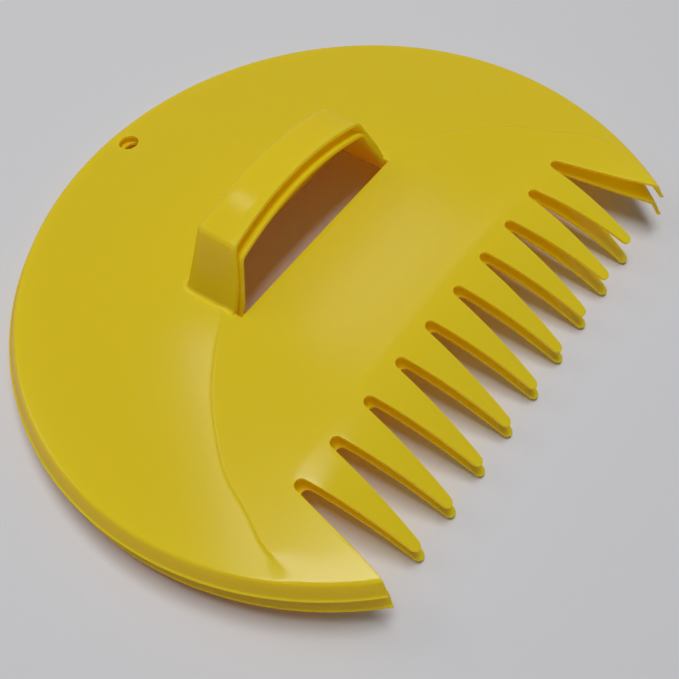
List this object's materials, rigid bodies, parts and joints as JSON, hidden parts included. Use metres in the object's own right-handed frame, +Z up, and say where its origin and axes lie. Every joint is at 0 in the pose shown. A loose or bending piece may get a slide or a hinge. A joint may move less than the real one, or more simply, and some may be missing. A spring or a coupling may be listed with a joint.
{
  "type": "leaf grabber",
  "caption": "Nested pair of hand-held leaf scoops: oval toothed shells with a turned-down rim and a hollow strap handle, for gathering leaves between two hands.",
  "frame": {"origin": "centre of the bounding box of the nested pair, at the ground under the lower scoop", "axes": "+X across the scoops, along the strap handles; +Y from the teeth towards the hang hole; +Z up, out of the crowned side"},
  "size_m": [0.3808, 0.2986, 0.0733],
  "materials": {
    "scoop_plastic": "gloss, moulded in colour"
  },
  "bodies": {
    "lower_scoop": {"lower_scoop": "scoop_plastic"},
    "upper_scoop": {"upper_scoop": "scoop_plastic"}
  },
  "joints": [
    {"name": "upper_scoop_lift", "type": "slide", "parent": "lower_scoop", "child": "upper_scoop", "axis": [0, 0, 1], "range_m": [0, 0.15]}
  ]
}
